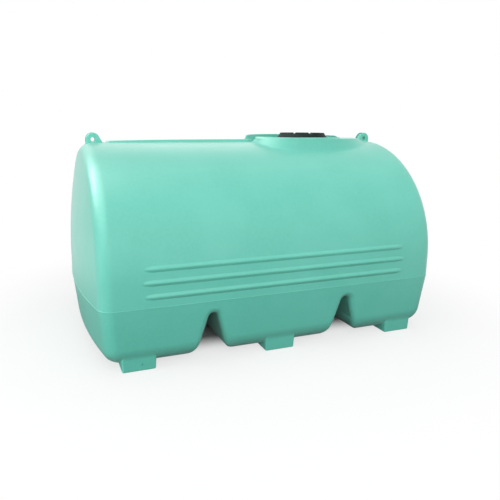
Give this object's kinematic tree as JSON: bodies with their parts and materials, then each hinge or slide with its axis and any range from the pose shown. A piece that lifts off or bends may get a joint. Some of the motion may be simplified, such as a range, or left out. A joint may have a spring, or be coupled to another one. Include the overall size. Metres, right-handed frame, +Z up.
{
  "type": "liquid fertilizer tank",
  "caption": "Horizontal one-piece moulded plastic tank with a D section, domed ends, saddle notches, moulded feet, side ribs, lifting lugs and a screw lid in an oval hatch collar.",
  "frame": {"origin": "on the ground, midway between the ends and between the sides", "axes": "+X along the tank towards the hatch end, +Y across it to the rear, +Z up"},
  "size_m": [2.7476, 1.75, 1.542],
  "materials": {
    "tank_plastic": "satin mint-green moulded polyethylene with a faint orange peel",
    "lid_plastic": "satin black moulded plastic"
  },
  "bodies": {
    "tank": {"vault": "tank_plastic", "end_left_upper": "tank_plastic", "end_right_upper": "tank_plastic", "belly_left": "tank_plastic", "belly_middle": "tank_plastic", "belly_right": "tank_plastic", "saddle_left": "tank_plastic", "saddle_right": "tank_plastic", "end_left_lower": "tank_plastic", "end_right_lower": "tank_plastic", "parting_bead": "tank_plastic", "rib_front_low": "tank_plastic", "rib_front_middle": "tank_plastic", "rib_front_high": "tank_plastic", "rib_rear_low": "tank_plastic", "rib_rear_middle": "tank_plastic", "rib_rear_high": "tank_plastic", "foot_front_left": "tank_plastic", "foot_front_middle": "tank_plastic", "foot_front_right": "tank_plastic", "foot_rear_left": "tank_plastic", "foot_rear_middle": "tank_plastic", "foot_rear_right": "tank_plastic", "spine": "tank_plastic", "lug_left": "tank_plastic", "lug_right": "tank_plastic", "hatch_collar": "tank_plastic", "hatch_floor": "tank_plastic", "filling_neck": "lid_plastic"},
    "lid": {"hatch_lid": "lid_plastic", "lid_grip_ring": "lid_plastic"}
  },
  "joints": [
    {"name": "lid_lift", "type": "slide", "parent": "tank", "child": "lid", "axis": [0, 0, 1], "range_m": [0, 0.35]}
  ]
}
